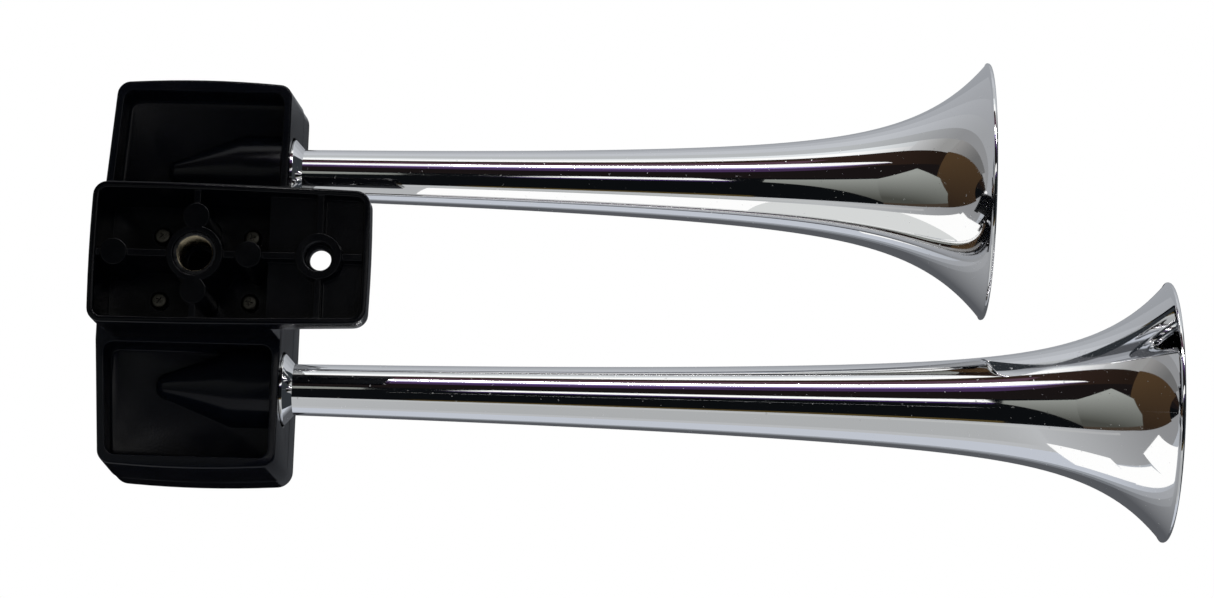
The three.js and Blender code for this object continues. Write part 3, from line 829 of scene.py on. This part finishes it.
# %% [markdown]
# ## Mounting foot
#
# The foot is a plate with a tall pedestal on its back half, cast hollow from below. Modelled as
# it is cast: a block with rounded corners, its top pulled up into the pedestal, its underside
# inset to leave the rim and pushed up into the pockets. Bosses, pads and ribs are joined to it,
# and the holes are drilled last.

# %% Foot sizes
bolt_x = 29.5 * MM
foot_back, foot_front = -79.3 * MM, 52.9 * MM
foot_half, foot_taper = 34.1 * MM, 2.1 * MM
foot_side_bow, foot_end_bow = 0.8 * MM, 0.7 * MM
foot_corner, foot_wall, foot_height = 6.5 * MM, 3.1 * MM, 47.2 * MM
foot_draft, foot_ceiling = 0.8 * MM, 4 * MM
plate_height, tray_depth = 14 * MM, 10 * MM
pocket_top = foot_height - foot_ceiling
rim_round, foot_round = 0.8 * MM, 0.5 * MM
bite = 0.8 * MM
divider = body_front - foot_wall
foot_length = foot_front - foot_back
foot_middle = (foot_front + foot_back) / 2


def foot_bend(co):
    """Narrows the plain block towards its front and bulges its sides and ends."""
    along = (co.x - foot_back) / foot_length
    across = co.y / foot_half
    wide = 4 * foot_side_bow * along * (1 - along)
    end = max(0, abs(co.x - foot_middle) - (foot_length / 2 - foot_corner)) / foot_corner
    out = foot_end_bow * (1 - across * across) * end
    return (
        math.copysign(out, co.x - foot_middle),
        across * (wide - foot_taper * along),
        0,
    )


# %% Pull the foot out of a block
foot = add_block(
    "mounting_foot_cast",
    (foot_back, -foot_half, 0),
    (foot_front, foot_half, plate_height),
    foot_corner,
)
evenly = [foot_back + foot_length * i / 12 for i in range(1, 12)]
columns = [x for x in evenly if abs(x - divider) > 3 * MM]
slice_across(foot, columns + [divider, body_front], "X")
slice_across(foot, [foot_half * share for share in (-0.66, -0.33, 0, 0.33, 0.66)], "Y")
edit(foot)
shift(foot, foot_bend)
pick(foot, "FACE", facing(1, plate_height, lambda c: c.x < body_front))
pull(0, 0, foot_height - plate_height)
draft_share = (1 - foot_draft / (body_front - foot_back), 1 - foot_draft / foot_half, 1)
bpy.ops.transform.resize(value=draft_share, center_override=(body_front, 0, foot_height))
pick(foot, "FACE", facing(-1, 0))
bpy.ops.mesh.inset(thickness=foot_wall, use_even_offset=True)
pull(0, 0, tray_depth)
pick(foot, "FACE", facing(-1, tray_depth, lambda c: c.x < divider))
pull(0, 0, pocket_top - tray_depth)
done()
print("foot block:", len(foot.data.polygons), "faces")

# %% Round the rims while the mesh is still plain
edit(foot)
pick(foot, "EDGE", level_corner(0))
bpy.ops.mesh.bevel(offset=rim_round, segments=4, affect="EDGES")
done()

# %% Ribs, pads and bosses
rib = 1.7 * MM
rib_recess = 1.2 * MM
deep, shallow = pocket_top + bite, tray_depth + bite
pad_radius, boss_radius, bolt_boss_radius = 6.4 * MM, 13.5 * MM, 11.1 * MM
pads_from_port = ((-38.7, 0), (25.6, 0), (0, 18), (0, -18))


def half_width(x):
    """Half of the foot's width at a place along it, to the middle of its wall."""
    return foot_half - foot_taper * (x - foot_back) / foot_length - foot_wall + bite


def cross_rib(x, top):
    """A rib from side to side."""
    reach = half_width(x)
    return add_block("rib", (x - rib, -reach, rib_recess), (x + rib, reach, top))


def long_rib(start, end, top):
    """A rib along the foot's middle."""
    return add_block("rib", (start, -rib, rib_recess), (end, rib, top))


join(
    foot,
    cross_rib(port_x, deep),
    cross_rib(bolt_x, shallow),
    long_rib(foot_back + foot_wall - bite, body_front - bite, deep),
    long_rib(divider - bite, foot_front - foot_wall + bite, shallow),
    add_rod("boss", (port_x, 0), boss_radius, 0, deep, 96),
    add_rod("boss", (bolt_x, 0), bolt_boss_radius, 0, shallow, 96),
)
for x, y in pads_from_port:
    join(foot, add_rod("pad", (port_x + x * MM, y * MM), pad_radius, 0, deep, 48))
print("foot with bosses:", len(foot.data.polygons), "faces")

# %% Drill the foot
overrun = 2 * MM
bolt_radius, recess_radius, recess_depth = 5.2 * MM, 7.2 * MM, 9 * MM
insert_radius, insert_length = 10.4 * MM, 22 * MM
insert_hole, insert_hole_top = insert_radius + 0.1 * MM, insert_length + 1.1 * MM
supply_radius, seal_radius, seal_depth = 6 * MM, 10.3 * MM, 2.3 * MM
screw_x, screw_y, screw_hole, screw_hole_start = 22 * MM, 16 * MM, 2.85 * MM, 20 * MM
foot_top = foot_height + overrun
cut(
    foot,
    add_rod("drill", (bolt_x, 0), bolt_radius, -overrun, plate_height + overrun, 96),
    add_rod("drill", (bolt_x, 0), recess_radius, -overrun, recess_depth, 96),
    add_rod("drill", (port_x, 0), insert_hole, -overrun, insert_hole_top, 96),
    add_rod("drill", (port_x, 0), supply_radius, -overrun, foot_top, 64),
    add_rod("drill", (port_x, 0), seal_radius, foot_height - seal_depth, foot_top, 64),
)
for x, y in [(port_x + screw_x * a, screw_y * b) for a in (1, -1) for b in (1, -1)]:
    cut(foot, add_rod("drill", (x, y), screw_hole, screw_hole_start, foot_top, 32))
tidy(foot)
round_edges(foot, foot_round)
fit(foot, "mounting_foot")

# %% [markdown]
# ## Manifold body
#
# The body is the wide casting above the foot. Its ends bow out, its back runs forward towards the
# ends, and it grows a little upwards so that it leaves its mould. From below, each wing is an open
# tray with the cone of a throat in it.

# %% Body sizes
rim_height, deck_height = 47.5 * MM, 90 * MM
tray_floor, web_top = 68 * MM, 72 * MM
chamber_x, chamber_radius, flange_radius = -38 * MM, 25 * MM, 34 * MM
body_wall, body_taper, flange_gap = 4 * MM, 4.2 * MM, 2.8 * MM
body_back = chamber_x - flange_radius - flange_gap - body_wall - body_taper
body_half = trumpet_y + flange_radius + flange_gap + body_wall
body_bow, body_corner, body_draft = 1.9 * MM, 5.8 * MM, 0.03
tray_inner = foot_half + 1.3 * MM
body_length = body_front - body_back
tray_corner, tray_round = 5 * MM, 1.6 * MM
body_rim_round, body_round = 1.1 * MM, 0.6 * MM


def forward(co):
    """How far the body's back runs forward at a place."""
    along = (co.x - body_back) / body_length
    outward = max(0, abs(co.y) - foot_half) / (body_half - foot_half)
    return body_taper * outward * (1 - along)


def body_bend(co):
    """The rule that bows, tapers and drafts a plain block into the body's outline.

    The bow is for the ends alone, so it sets in over the last tenth of each half.
    """
    along = (co.x - body_back) / body_length
    growth = body_draft * (co.z - rim_height)
    end = max(0, abs(co.y) / body_half - 0.9) / 0.1
    bow = 4 * body_bow * max(0, along * (1 - along)) * end
    x_move = growth * (2 * along - 1) + forward(co)
    y_move = growth * co.y / body_half + math.copysign(bow, co.y)
    return (x_move, y_move, 0)


def body_block(name, low_z, high_z, inset, corner):
    """A block with the body's outline, drawn in by an inset."""
    block = add_block(
        name,
        (body_back + inset, -body_half + inset, low_z),
        (body_front - inset, body_half - inset, high_z),
        corner,
        8,
    )
    inside = body_length - 2 * inset
    slice_across(block, [body_back + inset + inside * i / 10 for i in range(1, 10)], "X")
    slice_across(block, [foot_half, -foot_half], "Y")
    edit(block)
    shift(block, body_bend)
    done()
    return block


# %% Block out the body
body = body_block("manifold_body_cast", rim_height, deck_height, 0, body_corner)
edit(body)
pick(body, "EDGE", level_corner(rim_height))
bpy.ops.mesh.bevel(offset=body_rim_round, segments=4, affect="EDGES")
done()


def tray(side):
    """The hollow under one wing."""
    low_y, high_y = tray_inner, body_half - body_wall
    if side < 0:
        low_y, high_y = -high_y, -low_y
    hollow = add_block(
        "tray",
        (body_back + body_wall, low_y, rim_height - overrun),
        (body_front - body_wall, high_y, tray_floor),
        tray_corner,
    )
    edit(hollow)
    shift(hollow, lambda co: (forward(co), 0, 0))
    pick(hollow, "EDGE", level_edge(tray_floor))
    bpy.ops.mesh.bevel(offset=tray_round, segments=4, affect="EDGES")
    done()
    return hollow


hollow_corner = body_corner - 3 * MM
cut(body, body_block("hollow", web_top, deck_height + overrun, body_wall, hollow_corner))
print("body block:", len(body.data.polygons), "faces")

# %% Throats, chambers and sockets
nose_tip, nose_centre = chamber_x - 17 * MM, chamber_x - 11 * MM
nose_length, nose_radius = 6 * MM, 6.5 * MM
cone_end, throat_radius = body_front - 24.6 * MM, 19 * MM
boss_profile = [
    (nose_tip, 0),
    *[
        (nose_centre - nose_length * math.cos(a), nose_radius * math.sin(a))
        for a in [math.radians(degrees) for degrees in (15, 35, 55, 75, 90)]
    ],
    (cone_end, throat_radius),
    (divider + bite, throat_radius),
    (divider + bite, 0),
]
nozzle_radius, bore_radius, spigot_hole = 5.5 * MM, 10.4 * MM, 12.3 * MM
socket_radius, socket_depth = 18.4 * MM, 5 * MM
spigot_back = body_front - 21.9 * MM
socket_profile = [
    (chamber_x, 0),
    (chamber_x, nozzle_radius),
    (spigot_back, bore_radius),
    (spigot_back, spigot_hole),
    (body_front - socket_depth, spigot_hole),
    (body_front - socket_depth, socket_radius),
    (body_front + overrun, socket_radius),
    (body_front + overrun, 0),
]
flange_low, chamber_floor = tray_floor + 0.5 * MM, deck_height - 16 * MM
deck_top = deck_height + overrun
for side in (1, -1):
    y = side * trumpet_y
    cut(body, tray(side))
    join(body, add_rod("flange", (chamber_x, y), flange_radius, flange_low, deck_height, 96))
    cut(body, add_rod("chamber", (chamber_x, y), chamber_radius, chamber_floor, deck_top, 96))
    join(body, turn_profile("throat", boss_profile, y, trumpet_height, 96))
    cut(body, turn_profile("socket", socket_profile, y, trumpet_height, 96))
tidy(body)
round_edges(body, body_round)
fit(body, "manifold_body")

# %% [markdown]
# ## Top cover
#
# The cover closes the body from above. Its edge is one broad round and its top is faintly
# crowned. It is pulled up from the body's outline in small steps that shrink as they rise.

# %% Cover
cover_bottom, cover_top = deck_height + 0.3 * MM, 118 * MM
cover_round, cover_wall, cover_crown, cover_edge = 9 * MM, 3 * MM, 1 * MM, 0.4 * MM
shoulder = cover_top - cover_round
cover = body_block("top_cover_cast", cover_bottom, shoulder, 0, body_corner + 1.4 * MM)
cover_middle = Vector(((body_front + body_back) / 2, 0, 0))


def shrink(inset):
    """Draws the selected outline in about the cover's middle."""
    return (1 - 2 * inset / body_length, 1 - inset / body_half, 1)


edit(cover)
pick(cover, "FACE", facing(1, shoulder))
steps = 8
inset_before = 0
for step in range(1, steps + 1):
    angle = math.radians(90 * step / steps)
    rise = cover_round * (math.sin(angle) - math.sin(angle - math.radians(90 / steps)))
    inset = cover_round * (1 - math.cos(angle))
    pull(0, 0, rise)
    now, before = shrink(inset), shrink(inset_before)
    bpy.ops.transform.resize(
        value=(now[0] / before[0], now[1] / before[1], 1), center_override=cover_middle
    )
    inset_before = inset
for share, rise in ((0.25, 0.45), (0.3, 0.35), (0.5, 0.2)):
    pull(0, 0, rise * cover_crown)
    bpy.ops.transform.resize(value=(1 - share, 1 - share, 1), center_override=cover_middle)
done()
tidy(cover, 0.05)
inner_top, inner_corner = cover_top - cover_wall, 4 * MM
cut(cover, body_block("hollow", deck_height - overrun, inner_top, cover_wall, inner_corner))

# %% Posts for the cover's screws
post_x, post_y, post_radius = 28 * MM, body_half - body_wall - 6.4 * MM, 4.6 * MM
post_top, clear_radius = cover_top - 1.5 * MM, 2.25 * MM
head_hole, head_depth = 4.25 * MM, 3 * MM
over_cover = cover_top + overrun
for x, y in [(chamber_x + post_x * a, post_y * b) for a in (1, -1) for b in (1, -1)]:
    join(cover, add_rod("post", (x, y), post_radius, cover_bottom, post_top, 48))
    cut(
        cover,
        add_rod("drill", (x, y), clear_radius, deck_height - overrun, over_cover, 32),
        add_rod("drill", (x, y), head_hole, cover_top - head_depth, over_cover, 48),
    )
tidy(cover, 0.05)
round_edges(cover, cover_edge)
fit(cover, "top_cover")

# %% [markdown]
# ## Supply port insert
#
# A brass bush with a pipe thread sits in the port's boss. Only its bore shows brass: its face was
# painted with the foot.

# %% Insert
port_radius = 8.3 * MM
thread_pitch, thread_depth = 1.4 * MM, 0.8 * MM
insert_low, insert_chamfer = 0.8 * MM, 0.3 * MM
insert_high = insert_low + insert_length
bore = []
z = insert_low + thread_depth
while z < insert_high - thread_pitch:
    bore += [(z, port_radius), (z + thread_pitch / 2, port_radius + thread_depth)]
    z += thread_pitch
insert_profile = [
    (insert_low, insert_radius - insert_chamfer),
    (insert_low + insert_chamfer, insert_radius),
    (insert_high, insert_radius),
    (insert_high, port_radius),
    *bore[::-1],
    (insert_low, port_radius + thread_depth),
    (insert_low, insert_radius - insert_chamfer),
]
insert = turn_profile("supply_port_insert_turned", insert_profile, 0, 0, 96)
edit(insert)
bpy.ops.mesh.select_all(action="SELECT")
bpy.ops.transform.rotate(value=math.pi / 2, orient_axis="Y", center_override=(0, 0, 0))
bpy.ops.transform.translate(value=(port_x, 0, 0))
done()
smooth(insert, 30)
fit(insert, "supply_port_insert")

# %% [markdown]
# ## Screws
#
# Two kinds of zinc-plated machine screw hold the castings together. Their heads are low domes
# with a cross for the driver. One screw of each kind is modelled and the rest are copies.

# %% One screw
def add_screw(name, node_name, shank_radius, head_radius, head_height, cross):
    """A screw as long as its node, which stands on its head at the origin and points up.

    The dome, the point and the cross keep the same shares of the head and shank on any screw.
    """
    low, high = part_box(node_name)
    length = high.z - low.z - head_height
    screw = add_rod(name, (0, 0), head_radius, 0, head_height, 48)
    edit(screw)
    pick(screw, "EDGE", level_edge(0))
    bpy.ops.mesh.bevel(offset=head_height * 0.45, segments=5, affect="EDGES")
    pick(screw, "FACE", facing(1, head_height))
    bpy.ops.mesh.inset(thickness=head_radius - shank_radius)
    pull(0, 0, length - shank_radius)
    pull(0, 0, shank_radius * 0.5)
    bpy.ops.transform.resize(value=(0.7, 0.7, 1), center_override=(0, 0, 0))
    done()
    arm, cross_depth = cross / 6, head_height * 0.55
    for x, y in ((cross, arm), (arm, cross)):
        slot_cut = add_block("cross", (-x, -y, -head_height), (x, y, cross_depth))
        edit(slot_cut)
        pick(slot_cut, "FACE", facing(1, cross_depth))
        bpy.ops.transform.resize(value=(0.62, 0.62, 1))
        done()
        cut(screw, slot_cut)
    tidy(screw)
    smooth(screw, 30)
    return screw


def place_copy(screw, node_name, turn, flip):
    """A copy of a screw at the place of its node, turned a little so that no two look alike."""
    only(screw)
    bpy.ops.object.duplicate()
    copy = bpy.context.object
    copy.name = node_name + "_turned"
    low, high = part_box(node_name)
    copy.rotation_euler = (math.pi if flip else 0, 0, math.radians(turn))
    copy.location = ((low.x + high.x) / 2, (low.y + high.y) / 2, high.z if flip else low.z)
    bpy.ops.object.transform_apply(location=True, rotation=True, scale=True)
    fit(copy, node_name)


# %% Foot screws and cover screws
foot_screw = add_screw("foot_screw", "foot_screw_1", 2.5 * MM, 4.4 * MM, 3.6 * MM, 2.3 * MM)
cover_screw = add_screw("cover_screw", "cover_screw_1", 1.9 * MM, 3.9 * MM, 2.4 * MM, 2.0 * MM)
for number, turn in enumerate((12, 71, 38, 55)):
    place_copy(foot_screw, f"foot_screw_{number + 1}", turn, flip=False)
    place_copy(cover_screw, f"cover_screw_{number + 1}", turn + 25, flip=True)
bpy.data.objects.remove(foot_screw)
bpy.data.objects.remove(cover_screw)
